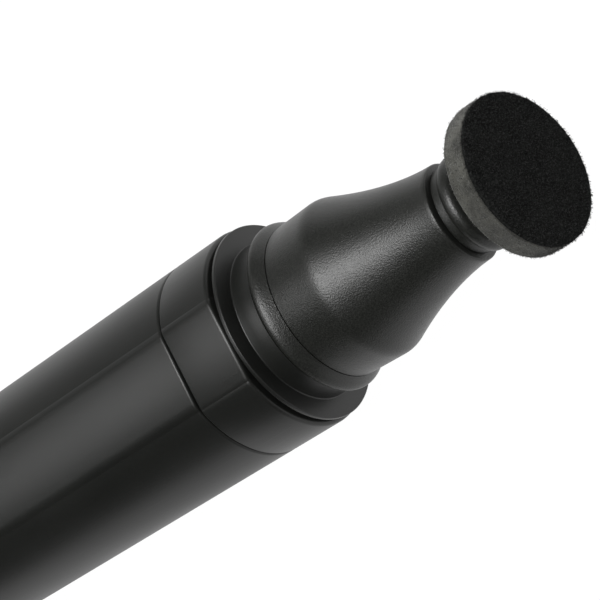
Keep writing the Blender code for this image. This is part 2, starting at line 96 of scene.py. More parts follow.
CUP_LIP = 110  # degrees from forward
PLATE_BACK = 0.9 * MM
PLATE_R = 4.7 * MM
PAD_BACK = 1.35 * MM
PAD_FRONT = 3.41 * MM
PAD_R = 5.7 * MM
FACE_R = 5.62 * MM
FACE_THICKNESS = 0.35 * MM

WITNESS_HEIGHT = 0.012 * MM  # of the mould's parting line at one edge of the upper flat
WITNESS_WIDTH = math.radians(0.8)
EDGE_TURN = math.radians(0.55)  # between the extra vertices at an edge of a flat

# Slider, post, slot and brush
POST_LENGTH = 5.0 * MM
POST_WIDTH = 2.8 * MM
POST_IN_SLIDER = 1.0 * MM
SLOT_PLAY = 0.2 * MM
SPRING_SEAT = -4.4 * MM
SOCKET_DEPTH = 4.0 * MM
HAIR_ROOT_R = 3.3 * MM
HAIR_COUNT = 2600

SIDES = 144
FINE = 96


class Signal:
    """A node's output that can be used in Python arithmetic; every operator adds its Math node."""

    def __init__(self, tree, socket=None):
        self.tree = tree
        self.socket = socket

    def node(self, kind, settings=None, sockets=None, output=0):
        """Adds any other node: its settings first, then the values or links of its sockets."""
        made = self.tree.nodes.new(kind)
        for name, value in (settings or {}).items():
            if name == "stops":
                ramp = made.color_ramp
                while len(ramp.elements) < len(value):
                    ramp.elements.new(0.5)
                for element, (place, colour) in zip(ramp.elements, value):
                    element.position = place
                    element.color = colour
            else:
                setattr(made, name, value)
        for name, value in (sockets or {}).items():
            if isinstance(value, Signal):
                self.tree.links.new(value.socket, made.inputs[name])
            else:
                made.inputs[name].default_value = value
        return Signal(self.tree, made.outputs[output])

    def math(self, operation, *values, clamp=False):
        settings = {"operation": operation, "use_clamp": clamp}
        return self.node("ShaderNodeMath", settings, dict(enumerate(values)))

    def __add__(self, other):
        return self.math("ADD", self, other)

    def __radd__(self, other):
        return self.math("ADD", other, self)

    def __sub__(self, other):
        return self.math("SUBTRACT", self, other)

    def __rsub__(self, other):
        return self.math("SUBTRACT", other, self)

    def __mul__(self, other):
        return self.math("MULTIPLY", self, other)

    def __rmul__(self, other):
        return self.math("MULTIPLY", other, self)

    def __truediv__(self, other):
        return self.math("DIVIDE", self, other)

    def __pow__(self, other):
        return self.math("POWER", self, other)

    def clamped(self):
        return self.math("ADD", self, 0.0, clamp=True)

    def sine(self):
        return self.math("SINE", self)

    def absolute(self):
        return self.math("ABSOLUTE", self)

    # Patterns, all on Object coordinates

    def place(self):
        return self.node("ShaderNodeTexCoord", output="Object")

    def grain(self, size, detail=2.0, stretch=(1, 1, 1), shift=(0, 0, 0)):
        """Noise from 0 to 1 whose lumps are about size metres wide, widened along stretch."""
        scale = [1 / way for way in stretch]
        places = {"Vector": self.place(), "Scale": scale, "Location": shift}
        spot = self.node("ShaderNodeMapping", None, places)
        sockets = {"Vector": spot, "Scale": 1 / size, "Detail": detail, "Roughness": 0.55}
        return self.node("ShaderNodeTexNoise", None, sockets)

    def pits(self, size):
        """Distance from 0 to 1 to the nearest of scattered points about size metres apart."""
        sockets = {"Vector": self.place(), "Scale": 1 / size}
        return self.node("ShaderNodeTexVoronoi", {"feature": "F1"}, sockets)

    def spread(self, low, high):
        """Stretches low to high over 0 to 1 and cuts off the rest."""
        return ((self - low) / (high - low)).clamped()

    def shade(self, first, second):
        """A colour between two, first where the signal is 0."""
        sockets = {0: self, 6: (*first, 1), 7: (*second, 1)}
        return self.node("ShaderNodeMix", {"data_type": "RGBA"}, sockets, output=2)

    def bump(self, distance, strength=1.0, under=None):
        sockets = {"Strength": strength, "Distance": distance, "Height": self}
        if under:
            sockets["Normal"] = under
        return self.node("ShaderNodeBump", None, sockets)


def make_material(name, constants, paint):
    """A finish: constants are set on the shader's sockets, and paint gives what varies over it."""
    made = bpy.data.materials.new(name)
    made.use_nodes = True
    tree = made.node_tree
    shader = tree.nodes["Principled BSDF"]
    for socket, value in constants.items():
        shader.inputs[socket].default_value = value
    for socket, signal in paint(Signal(tree)).items():
        tree.links.new(signal.socket, shader.inputs[socket])
    return made


def satin_paint(start, under=None):
    """Moulded satin black: fine haze, faint flow clouds and hairline scratches along the pen."""
    haze = start.grain(0.16 * MM, 3.0)
    cloud = start.grain(5 * MM, 2.0, (2.5, 1, 1))
    scratch = start.grain(0.09 * MM, 1.0, (60, 1, 1)).spread(0.62, 0.72)
    tone = (haze * 0.5 + cloud * 0.5).spread(0.3, 0.7)
    return {
        "Base Color": tone.shade((0.005, 0.0053, 0.0047), (0.0085, 0.009, 0.008)),
        "Roughness": 0.34 + 0.1 * cloud + 0.05 * haze - 0.03 * scratch,
        "Normal": (haze + 0.35 * scratch).bump(0.006 * MM, 0.7, under),
    }


def flatted_paint(start):
    """Satin black whose flats swell very slightly between their two edges."""
    place = start.node("ShaderNodeSeparateXYZ", None, {"Vector": start.place()})
    across = Signal(start.tree, place.socket.node.outputs["Y"]) / FLAT_HALF_WIDTH
    swell = (1 - across * across).clamped()
    return satin_paint(start, swell.bump(FLAT_SWELL, 1.0))


def grained_paint(start):
    """Spark-eroded black: fine lumps that each catch the light, painted lighter as a painted highlight.
    """
    lumps = start.grain(0.1 * MM, 3.0)
    dots = start.pits(0.11 * MM)
    cloud = start.grain(3 * MM, 2.0)
    relief = lumps * 0.8 + dots * 0.5
    # The colour is lighter where the lumps rise: a painted highlight on each lump.
    return {
        "Base Color": lumps.spread(0.35, 0.7).shade((0.005, 0.0053, 0.0046), (0.016, 0.0168, 0.0148)),
        "Roughness": 0.3 + 0.1 * cloud + 0.06 * lumps,
        "Normal": relief.bump(0.026 * MM, 0.8),
    }


def nylon_paint(start):
    cloud = start.grain(1.5 * MM, 3.0)
    fleck = start.grain(0.08 * MM, 2.0)
    return {
        "Base Color": cloud.spread(0.3, 0.7).shade((0.018, 0.018, 0.019), (0.034, 0.034, 0.036)),
        "Roughness": 0.45 + 0.2 * fleck,
        "Normal": fleck.bump(0.006 * MM, 0.6),
    }


def acetal_paint(start):
    cloud = start.grain(3 * MM, 3.0)
    fleck = start.grain(0.1 * MM, 2.0)
    return {
        "Base Color": cloud.spread(0.3, 0.7).shade((0.68, 0.67, 0.62), (0.8, 0.79, 0.75)),
        "Roughness": 0.32 + 0.14 * cloud,
        "Normal": fleck.bump(0.004 * MM, 0.5),
    }


def steel_paint(start):
    lathe_marks = start.grain(0.05 * MM, 2.0, (1, 8, 8))
    cloud = start.grain(0.8 * MM, 2.0)
    return {
        "Base Color": cloud.shade((0.55, 0.55, 0.56), (0.66, 0.66, 0.66)),
        "Roughness": 0.14 + 0.14 * lathe_marks,
        "Normal": lathe_marks.bump(0.002 * MM, 0.5),
    }


def spring_paint(start):
    rolled = start.grain(0.06 * MM, 3.0, (30, 1, 1))
    return {
        "Base Color": rolled.shade((0.42, 0.41, 0.4), (0.56, 0.55, 0.53)),
        "Roughness": 0.22 + 0.2 * rolled,
        "Normal": rolled.bump(0.003 * MM, 0.5),
    }


def nickel_paint(start):
    spun = start.grain(0.07 * MM, 3.0, (1, 12, 12))
    tarnish = start.grain(2.5 * MM, 3.0).spread(0.4, 0.75)
    return {
        "Base Color": tarnish.shade((0.68, 0.67, 0.64), (0.55, 0.52, 0.46)),
        "Roughness": 0.16 + 0.12 * spun + 0.12 * tarnish,
        "Normal": spun.bump(0.003 * MM, 0.5),
    }


def resin_paint(start):
    bubble = start.pits(0.4 * MM)
    cloud = start.grain(1.2 * MM, 2.0)
    return {
        "Base Color": cloud.shade((0.3, 0.16, 0.04), (0.42, 0.26, 0.09)),
        "Roughness": 0.2 + 0.15 * cloud,
        "Normal": bubble.bump(0.02 * MM, 0.4),
    }


def hair_paint(start):
    strand = start.grain(0.12 * MM, 2.0, (120, 1, 1))
    bleach = start.grain(4 * MM, 2.0)
    tone = (strand * 0.7 + bleach * 0.3).spread(0.3, 0.7)
    return {
        "Base Color": tone.shade((0.07, 0.042, 0.024), (0.3, 0.2, 0.125)),
        "Roughness": 0.42 + 0.25 * strand,
    }


def felt_paint(start):
    """Warm grey felt: matted fibres, painted shade in hollows, pale worn blotches, a few pale hairs."""
    mat = start.grain(0.14 * MM, 4.0)
    patch = start.grain(1.0 * MM, 3.0)
    hairs = start.grain(0.05 * MM, 3.0, (9, 5, 1)).spread(0.6, 0.75)
    worn = start.grain(2.2 * MM, 2.0, shift=(0.02, 0, 0)).spread(0.46, 0.62)
    # The colour follows the bump's height: painted shade darkens its hollows; the worn blotches are real
    # wear.
    tone = (mat * 0.5 + patch * 0.5).spread(0.3, 0.7) * 0.65 + worn * 0.35
    tone = (tone + 0.3 * hairs).clamped()
    return {
        "Base Color": tone.shade((0.006, 0.0062, 0.0053), (0.08, 0.08, 0.069)),
        "Roughness": 0.85 + 0.1 * mat,
        "Normal": (mat + 0.6 * hairs + 0.8 * patch).bump(0.12 * MM, 0.9),
    }


def chamois_paint(start):
    """Black napped chamois: painted shade in hollows, painted light on tufts, a few pale crumbs."""
    nap = start.grain(0.16 * MM, 4.0)
    patch = start.grain(1.1 * MM, 3.0)
    specks = start.grain(0.11 * MM, 2.0, shift=(0.01, 0, 0)).spread(0.62, 0.72)
    # The colour follows the bump's height: painted shade in its hollows, painted light on its tufts.
    tone = (nap * 0.7 + patch * 0.3).spread(0.38, 0.64)
    tone = (tone * 0.55 + specks * 0.6).clamped()
    return {
        "Base Color": tone.shade((0.001, 0.0011, 0.001), (0.02, 0.0212, 0.0202)),
        "Roughness": 0.9 + 0.08 * nap,
        "Normal": nap.bump(0.12 * MM, 0.9),
    }


def nap_paint(start):
    strand = start.grain(0.16 * MM, 3.0)
    return {
        "Base Color": strand.spread(0.42, 0.62).shade((0.001, 0.001, 0.001), (0.028, 0.029, 0.0275)),
        "Roughness": 0.7 + 0.2 * strand,
    }


def fuzz_paint(start):
    strand = start.grain(0.3 * MM, 2.0)
    return {
        "Base Color": strand.spread(0.35, 0.65).shade((0.008, 0.008, 0.007), (0.08, 0.08, 0.07)),
        "Roughness": 0.75 + 0.15 * strand,
    }


def floor_paint(start):
    """Opal sheet of a light table, which glows evenly and shows no shadow."""
    cloud = start.grain(40 * MM, 2.0)
    return {
        "Base Color": cloud.shade((0.02, 0.02, 0.02), (0.03, 0.03, 0.03)),
        "Roughness": 0.8 + 0.1 * cloud,
    }


BLACK_MOULDING = {"IOR": 1.5, "Specular IOR Level": 0.38}
SATIN = make_material("satin_black_moulding", BLACK_MOULDING, satin_paint)
FLATTED = make_material("satin_black_flatted", BLACK_MOULDING, flatted_paint)
GRAINED = make_material("spark_grained_black", BLACK_MOULDING, grained_paint)
NYLON = make_material("moulded_nylon", {"IOR": 1.5}, nylon_paint)
ACETAL = make_material("natural_acetal", {"IOR": 1.48, "Subsurface Weight": 0.1}, acetal_paint)
STEEL = make_material("polished_ball_steel", {"Metallic": 1.0}, steel_paint)
SPRING = make_material("rolled_spring_strip", {"Metallic": 1.0}, spring_paint)
NICKEL = make_material("nickel_plate", {"Metallic": 1.0}, nickel_paint)
RESIN = make_material("setting_resin", {"IOR": 1.5, "Coat Weight": 0.5}, resin_paint)
HAIR = make_material("soft_hair", {"IOR": 1.55, "Sheen Weight": 0.2}, hair_paint)
FELT_SHEEN = {"Sheen Weight": 0.15, "Sheen Roughness": 0.5, "Specular IOR Level": 0.25}
FELT = make_material("matted_felt", FELT_SHEEN, felt_paint)
FUZZ = make_material("felt_fuzz", {"Sheen Weight": 0.15, "Specular IOR Level": 0.3}, fuzz_paint)
CHAMOIS = make_material("napped_chamois", {"Specular IOR Level": 0.1}, chamois_paint)
NAP = make_material("chamois_nap", {"Specular IOR Level": 0.12}, nap_paint)


def pad_place():
    """Where the pad's own axis runs: X out of the pivot through the face, Z the axis it turns on."""
    low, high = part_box("cleaning_pad")
    forward = ((low + high) / 2 - PIVOT_POINT).normalized()
    upward = Vector(JOINTS["pad_yaw"]["axis"]).normalized()
    upward = (upward - forward * upward.dot(forward)).normalized()
    across = upward.cross(forward)
    turn = Matrix((forward, across, upward)).transposed().to_4x4()
    return Matrix.Translation(PIVOT_POINT) @ turn


ALONG_PEN = Matrix.Translation((SEAM_X, 0, AXIS_Z))
ALONG_PAD = pad_place()


def span(node):
    """Rear station, front station and widest radius of a CAD node turned on the pen's axis."""
    low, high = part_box(node)
    return low.x - SEAM_X, high.x - SEAM_X, (high.y - low.y) / 2


def arc(centre, radius, start, end, steps):
    """Outline points of an arc; degrees from forward, towards the outside."""
    turns = [math.radians(start + (end - start) * step / steps) for step in range(steps + 1)]
    return [(centre[0] + radius * math.cos(a), centre[1] + radius * math.sin(a)) for a in turns]


def rounded(corners, steps=5):
    """Outline through (station, radius, fillet) corners of a closed loop, fillets as true arcs."""
    outline = []
    for index, (x, r, fillet) in enumerate(corners):
        here = Vector((x, r))
        if not fillet:
            outline.append((x, r))
            continue
        before = (Vector(corners[index - 1][:2]) - here).normalized()
        after = (Vector(corners[(index + 1) % len(corners)][:2]) - here).normalized()
        half = math.acos(max(-1.0, min(1.0, before.dot(after)))) / 2
        centre = here + (before + after).normalized() * fillet / math.sin(half)
        first = here + before * fillet / math.tan(half) - centre
        last = here + after * fillet / math.tan(half) - centre
        turn = math.atan2(first.y, first.x)
        sweep = (math.atan2(last.y, last.x) - turn + math.pi) % math.tau - math.pi
        for step in range(steps + 1):
            a = turn + sweep * step / steps
            outline.append((centre.x + fillet * math.cos(a), centre.y + fillet * math.sin(a)))
    return outline


def soft_min(a, b, blend):
    """The smaller of two numbers, eased over blend where they cross."""
    near = max(blend - abs(a - b), 0.0) / blend
    return min(a, b) - near * near * blend / 4


class Flats:
    """Section of a round bar with two opposite flats whose edges are broken."""

    def __init__(self, radius, height, turn=0.0, edge=0.14 * MM, bore=BORE + 0.05 * MM):
        self.radius, self.height, self.turn, self.edge, self.bore = radius, height, turn, edge, bore

    def reach(self, radius, angle):
        if radius <= self.bore:
            return radius
        upright = max(abs(math.sin(angle - self.turn)), 1e-6)
        section = soft_min(self.radius, self.height / upright, self.edge)
        corner = angle - self.turn - math.asin(self.height / self.radius)
        witness = WITNESS_HEIGHT * math.exp(-((corner / WITNESS_WIDTH) ** 2))
        return section + witness - (self.radius - radius)

    def turns(self):
        """Angles to put vertices at, closer together at the four edges of the flats."""
        turns = {round(math.tau * step / SIDES, 6) for step in range(SIDES)}
        edge = math.asin(self.height / self.radius)
        for corner in (edge, math.pi - edge, math.pi + edge, math.tau - edge):
            for step in range(-5, 6):
                turns.add(round((corner + self.turn + EDGE_TURN * step) % math.tau, 6))
        return sorted(turns)


def even_turns(sides):
    return [math.tau * step / sides for step in range(sides)]


def smooth(mesh, sharp=34):
    mesh.shade_smooth()
    mesh.set_sharp_from_angle(angle=math.radians(sharp))


def new_piece(name, mesh, material=None):
    piece = bpy.data.objects.new(name, mesh)
    bpy.context.scene.collection.objects.link(piece)
    if material:
        mesh.materials.clear()
        mesh.materials.append(material)
    return piece


def turned(name, outline, material, place=ALONG_PEN, sides=SIDES, flats=None, shape=None):
    """Turns an outline about the pen's axis into one closed solid with its place in its mesh.

    shape may move each point, given its station, radius and angle.
    """
    turns = flats.turns() if flats else even_turns(sides)
    points, rings = [], []
    for x, r in outline:
        if r <= 0:
            rings.append([len(points)])
            points.append((x, 0.0, 0.0))
            continue
        rings.append(list(range(len(points), len(points) + len(turns))))
        for angle in turns:
            px, reach = x, flats.reach(r, angle) if flats else r
            if shape:
                px, reach = shape(px, reach, angle)
            points.append((px, reach * math.cos(angle), reach * math.sin(angle)))
    pairs = list(zip(rings, rings[1:]))
    if outline[0][1] > 0:
        pairs.append((rings[-1], rings[0]))
    faces = []
    for one, two in pairs:
        for side in range(len(turns)):
            following = (side + 1) % len(turns)
            if len(one) > 1 and len(two) > 1:
                faces.append((one[side], one[following], two[following], two[side]))
            elif len(one) > 1:
                faces.append((one[side], one[following], two[0]))
            elif len(two) > 1:
                faces.append((one[0], two[following], two[side]))
    mesh = bpy.data.meshes.new(name)
    mesh.from_pydata(points, [], faces)
    form = bmesh.new()
    form.from_mesh(mesh)
    bmesh.ops.recalc_face_normals(form, faces=form.faces)
    bmesh.ops.transform(form, matrix=place, verts=form.verts)
    form.to_mesh(mesh)
    form.free()
    smooth(mesh)
    return new_piece(name, mesh, material)


def stadium(length, width, steps=14):
    """Outline of a slot about the origin: two half circles joined by straight sides."""
    reach = (length - width) / 2
    points = []
    for side in (1, -1):
        for step in range(steps + 1):
            a = -math.pi / 2 + math.pi * step / steps
            points.append((side * (reach + width / 2 * math.cos(a)), side * width / 2 * math.sin(a)))
    return points


def stacked(name, loops, material=None):
    """A closed solid through equal loops of (x, y, z) points, capped at both ends."""
    count = len(loops[0])
    points = [point for loop in loops for point in loop]
    faces = [tuple(range(count)), tuple(range((len(loops) - 1) * count, len(loops) * count))]
    for level in range(len(loops) - 1):
        for index in range(count):
            following = (index + 1) % count
            low, high = level * count, (level + 1) * count
            faces.append((low + index, low + following, high + following, high + index))
    mesh = bpy.data.meshes.new(name)
    mesh.from_pydata(points, [], faces)
    form = bmesh.new()
    form.from_mesh(mesh)
    bmesh.ops.recalc_face_normals(form, faces=form.faces)
    form.to_mesh(mesh)
    form.free()
    smooth(mesh)
    return new_piece(name, mesh, material)


def layered_stadium(centre, layers, steps=14):
    """Loops of one stadium at (height, length, width) layers, centred over a point of the axis."""
    loops = []
    for height, length, width in layers:
        outline = stadium(length, width, steps)
        loops.append([(centre + x, y, AXIS_Z + height) for x, y in outline])
    return loops


def combine(piece, other, operation):
    """Applies a Boolean with another object, which is then thrown away."""
    modifier = piece.modifiers.new(operation.title(), "BOOLEAN")
    modifier.operation = operation
    modifier.solver = "EXACT"
    modifier.object = other
    keep_result(piece)
    bpy.data.objects.remove(other)
    smooth(piece.data)


def keep_result(piece):
    """Makes the evaluated shape the piece's own plain mesh and removes its modifiers."""
    graph = bpy.context.evaluated_depsgraph_get()
    mesh = bpy.data.meshes.new_from_object(piece.evaluated_get(graph), depsgraph=graph)
    mesh.name = piece.name
    piece.modifiers.clear()
    piece.data = mesh


# Geometry trees for what repeats


def new_tree(name, sizes):
    """A geometry tree with named inputs; gives the tree and its inputs as Signals."""
    tree = bpy.data.node_groups.new(name, "GeometryNodeTree")
    tree.interface.new_socket("Geometry", in_out="INPUT", socket_type="NodeSocketGeometry")
    for label, value in sizes.items():
        kind = "NodeSocketInt" if isinstance(value, int) else "NodeSocketFloat"
        tree.interface.new_socket(label, in_out="INPUT", socket_type=kind)
    tree.interface.new_socket("Geometry", in_out="OUTPUT", socket_type="NodeSocketGeometry")
    entry = tree.nodes.new("NodeGroupInput")
    return tree, {label: Signal(tree, entry.outputs[label]) for label in ["Geometry", *sizes]}


def close_tree(tree, pieces):
    """Realizes each (geometry, material), joins them and ends the tree."""
    join = tree.nodes.new("GeometryNodeJoinGeometry")
    for geometry, material in pieces:
        real = geometry.node("GeometryNodeRealizeInstances", None, {"Geometry": geometry})
        done = real.node("GeometryNodeSetMaterial", None, {"Geometry": real, "Material": material})
        tree.links.new(done.socket, join.inputs[0])
    tree.links.new(join.outputs[0], tree.nodes.new("NodeGroupOutput").inputs[0])


def run_tree(piece, tree, sizes):
    """Sets the tree's inputs by identifier, runs it on the piece and keeps the plain mesh."""
    modifier = piece.modifiers.new(tree.name, "NODES")
    modifier.node_group = tree
    for item in tree.interface.items_tree:
        if item.in_out == "INPUT" and item.name in sizes:
            modifier[item.identifier] = sizes[item.name]
    keep_result(piece)


def curved_fibre(start, length, thickness, points):
    """One tapered fibre that stands on its root and bends over."""
    bend = 1.2
    radius = length / bend
    sockets = {"Resolution": points, "Radius": radius, "Start Angle": 0.0, "Sweep Angle": bend}
    line = start.node("GeometryNodeCurveArc", {"mode": "RADIUS"}, sockets)
    along = start.node("GeometryNodeSplineParameter")
    line = line.node("GeometryNodeSetCurveRadius", None, {"Curve": line, "Radius": 1 - 0.7 * along})
    sockets = {"Resolution": 3, "Radius": thickness / 2}
    ring = start.node("GeometryNodeCurvePrimitiveCircle", None, sockets)
    sockets = {"Curve": line, "Profile Curve": ring, "Fill Caps": True}
    strand = line.node("GeometryNodeCurveToMesh", None, sockets)
    rooted = start.node("ShaderNodeCombineXYZ", None, {"X": 0 - radius})
    strand = strand.node("GeometryNodeTransform", None, {"Geometry": strand, "Translation": rooted})
    upright = {"Geometry": strand, "Rotation": (math.pi / 2, 0, 0)}
    return strand.node("GeometryNodeTransform", None, upright)


def fibre_tree(name, sizes, skin, fibre, points):
    """Scatters short bent fibres over the faces where the piece's own "grow" attribute is set."""
    tree, given = new_tree(name, sizes)
    base = given["Geometry"]
    grow = base.node("GeometryNodeInputNamedAttribute", {"data_type": "FLOAT"}, {"Name": "grow"})
    spots = {"Mesh": base, "Density": grow * given["Density"], "Seed": given["Seed"]}
    scatter = base.node("GeometryNodeDistributePointsOnFaces", {"distribute_method": "RANDOM"}, spots)
    turn = Signal(tree, scatter.socket.node.outputs["Rotation"])
    lean = given["Lean"]
    low = base.node("ShaderNodeCombineXYZ", None, {"X": 0 - lean, "Y": 0 - lean, "Z": -math.pi})
    high = base.node("ShaderNodeCombineXYZ", None, {"X": lean, "Y": lean, "Z": math.pi})
    random = {"data_type": "FLOAT_VECTOR"}
    wander = base.node("FunctionNodeRandomValue", random, {"Min": low, "Max": high, "Seed": 3})
    turn = turn.node("FunctionNodeRotateRotation", {"rotation_space": "LOCAL"}, {0: turn, 1: wander})
    sizes = {2: 0.45, 3: 1.0, "Seed": 5}
    size = base.node("FunctionNodeRandomValue", {"data_type": "FLOAT"}, sizes, output=1)
    strand = curved_fibre(base, given["Length"], given["Thickness"], points)
    sockets = {"Points": scatter, "Instance": strand, "Rotation": turn, "Scale": size}
    grown = scatter.node("GeometryNodeInstanceOnPoints", None, sockets)
    close_tree(tree, [(base, skin), (grown, fibre)])
    return tree


def mark_growth(piece, share):
    """Stores how thickly fibres grow at each vertex, from share(local station, radius)."""
    back = ALONG_PAD.inverted()
    spots = [back @ vertex.co for vertex in piece.data.vertices]
    values = [share(spot.x, math.hypot(spot.y, spot.z)) for spot in spots]
    piece.data.attributes.new("grow", "FLOAT", "POINT").data.foreach_set("value", values)


def hair_tree(sizes):
    """Fine hairs from a round root that swell to the tuft's widest place and end in a dome."""
    tree, given = new_tree("hair_tuft", sizes)
    base = given["Geometry"]
    spots = {"Mesh": base, "Density": given["Density"], "Seed": given["Seed"]}
    scatter = base.node("GeometryNodeDistributePointsOnFaces", {"distribute_method": "RANDOM"}, spots)
    here = base.node("GeometryNodeInputPosition")
    split = here.node("ShaderNodeSeparateXYZ", None, {"Vector": here})
    across = Signal(tree, split.socket.node.outputs["Y"])
    upward = Signal(tree, split.socket.node.outputs["Z"]) - AXIS_Z
    off = (across * across + upward * upward) ** 0.5 / given["Root Radius"]
    reach = (1 - 0.16 * off * off) * given["Length"]
    lengths = {2: 0.955, 3: 1.0, "Seed": 11}
    uneven = base.node("FunctionNodeRandomValue", {"data_type": "FLOAT"}, lengths, output=1)
    line = base.node("GeometryNodeCurvePrimitiveLine", None, {"End": (-1.0, 0.0, 0.0)})
    line = line.node("GeometryNodeResampleCurve", None, {"Curve": line, "Count": 7})
    sockets = {"Points": scatter, "Instance": line, "Scale": reach * uneven}
    hairs = scatter.node("GeometryNodeInstanceOnPoints", None, sockets)
    hairs = hairs.node("GeometryNodeRealizeInstances", None, {"Geometry": hairs})
    # Every point moves out from the axis as far as its place along the tuft asks
    share = (given["Mouth X"] - split) / given["Length"]
    wave = (share * (math.pi / 1.05)).sine()
    swell = 1 + given["Swell"] * wave - 0.3 * share**4
    wild = base.node("ShaderNodeTexNoise", None, {"Vector": here, "Scale": 900.0, "Detail": 1.0}) - 0.5
    wild = wild * given["Disorder"] * share
    moved = here.node("ShaderNodeCombineXYZ", None, {
        "X": split,
        "Y": across * swell + wild,
        "Z": upward * swell + AXIS_Z + wild * 0.7,
    })
    hairs = hairs.node("GeometryNodeSetPosition", None, {"Geometry": hairs, "Position": moved})
    along = base.node("GeometryNodeSplineParameter")
    hairs = hairs.node("GeometryNodeSetCurveRadius", None, {"Curve": hairs, "Radius": 1 - 0.6 * along**2})
    sockets = {"Resolution": 3, "Radius": given["Thickness"] / 2}
    ring = base.node("GeometryNodeCurvePrimitiveCircle", None, sockets)
    sockets = {"Curve": hairs, "Profile Curve": ring, "Fill Caps": True}
    strands = hairs.node("GeometryNodeCurveToMesh", None, sockets)
    close_tree(tree, [(strands, HAIR)])
    return tree


def rib_tree(sizes):
    """A row of rounded ribs across the thumb slider, lowest at both ends of the row."""
    tree, given = new_tree("thumb_ribs", sizes)
    base = given["Geometry"]
    row = given["Pitch"] * (given["Count"] - 1)
    first = base.node("ShaderNodeCombineXYZ", None, {
        "X": given["Middle X"] - row / 2, "Z": given["Top Z"],
    })
    step = base.node("ShaderNodeCombineXYZ", None, {"X": given["Pitch"]})
    line = {"Count": given["Count"], "Start Location": first, "Offset": step}
    places = base.node("GeometryNodeMeshLine", {"mode": "OFFSET"}, line)
    half = given["Width"] / 2
    start = base.node("ShaderNodeCombineXYZ", None, {"Y": 0 - half})
    end = base.node("ShaderNodeCombineXYZ", None, {"Y": half})
    bar = base.node("GeometryNodeCurvePrimitiveLine", None, {"Start": start, "End": end})
    bar = bar.node("GeometryNodeResampleCurve", None, {"Curve": bar, "Count": 17})
    along = base.node("GeometryNodeSplineParameter")
    ends = (1 - (2 * along - 1).absolute() ** 6) ** 0.5
    bar = bar.node("GeometryNodeSetCurveRadius", None, {"Curve": bar, "Radius": 0.05 + 0.95 * ends})
    sockets = {"Resolution": 20, "Radius": given["Rib Radius"]}
    ring = base.node("GeometryNodeCurvePrimitiveCircle", None, sockets)
    sockets = {"Curve": bar, "Profile Curve": ring, "Fill Caps": True}
    rib = bar.node("GeometryNodeCurveToMesh", None, sockets)
    ribs = places.node("GeometryNodeInstanceOnPoints", None, {"Points": places, "Instance": rib})
    close_tree(tree, [(base, SATIN), (ribs, SATIN)])
    return tree


# The pieces


def finish_piece(piece, body, slot, *nodes):
    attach(piece, body)
    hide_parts(*nodes)
    return piece


def slot_cutter(name, centre, length, width, low, top):
    """Stadium prism that flares a little where it leaves the surface at height top."""
    break_edge = 0.14 * MM
    above = 0.4 * MM
    flare = 2 * (break_edge + above)
    layers = [
        (low, length, width),
        (top - break_edge, length, width),
        (top + above, length + flare, width + flare),
    ]
    return stacked(name, layered_stadium(centre, layers))


def slider_slot():
    """Centre, length and width of the slot that the slider's post runs in."""
    low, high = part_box("thumb_slider")
    travel = JOINTS["brush_slide"]["range_m"][1]
    length = travel + POST_LENGTH + 2 * SLOT_PLAY
    return (low.x + high.x) / 2 - travel / 2, length, POST_WIDTH + 2 * SLOT_PLAY


def make_barrel():
    rear, front, radius = span("barrel_shell")
    outline = rounded([
        (front, radius, 0.22 * MM),
        (rear, radius, 0.1 * MM),
        (rear, BORE, 0),
        (front, BORE, 0.05 * MM),
    ])
    shell = turned("barrel", outline, FLATTED, flats=Flats(radius, FLAT_HEIGHT))
    cutter = slot_cutter("slot_cutter", *slider_slot(), low=5 * MM, top=FLAT_HEIGHT)
    combine(shell, cutter, "DIFFERENCE")
    finish_piece(shell, "barrel", "black_satin_plastic", "barrel_shell")


def make_collar():
    rear, front, radius = span("front_collar")
    outline = rounded([
        (front, radius, 0.3 * MM),
        (rear, radius, 0.1 * MM),
        (rear, BORE, 0),
        (front, BORE, 0.1 * MM),
    ])
    flats = Flats(radius, COLLAR_FLAT_HEIGHT, COLLAR_TURN)
    collar = turned("collar", outline, FLATTED, flats=flats)
    finish_piece(collar, "barrel", "black_satin_plastic", "front_collar")


def make_neck():
    """Narrow round shoulder, the straight neck, and the counterbore for the bell."""
    rear, front, radius = span("neck_socket")
    edge = 0.08 * MM
    foot = SHOULDER_FRONT + NECK_FILLET
    outline = [
        (front, NECK_R),
        *arc((foot, NECK_R + NECK_FILLET), NECK_FILLET, 270, 180, 8),
        *arc((SHOULDER_FRONT - edge, radius - edge), edge, 0, 90, 6),
        *arc((SHOULDER_REAR + edge, radius - edge), edge, 90, 180, 6),
        (SHOULDER_REAR, BORE - FIT),
        (rear, BORE - FIT),
        (rear, SPIGOT_R + FIT),
        (BELL_COUNTERBORE, SPIGOT_R + FIT),
        (BELL_COUNTERBORE, BELL_REAR_R),
        (front, BELL_REAR_R),
    ]
    neck = turned("neck", outline, SATIN)
    finish_piece(neck, "barrel", "black_satin_plastic", "neck_socket")


def make_snap_bead():
    """Steep at the rear, where the cap clicks over it, and sloping down to the bell's band."""
    rear, front, radius = span("cap_snap_ring")
    steps = 28
    crown = []
    for step in range(steps, -1, -1):
        share = step / steps
        rise = (radius - BAND_R) * math.sin(math.pi * share**SNAP_SKEW)
        crown.append((rear + (front - rear) * share, BAND_R + rise))
    bead = turned("snap_bead", [*crown, (rear, BELL_REAR_R), (front, BELL_REAR_R)], GRAINED)
    finish_piece(bead, "barrel", "black_grained_plastic", "cap_snap_ring")


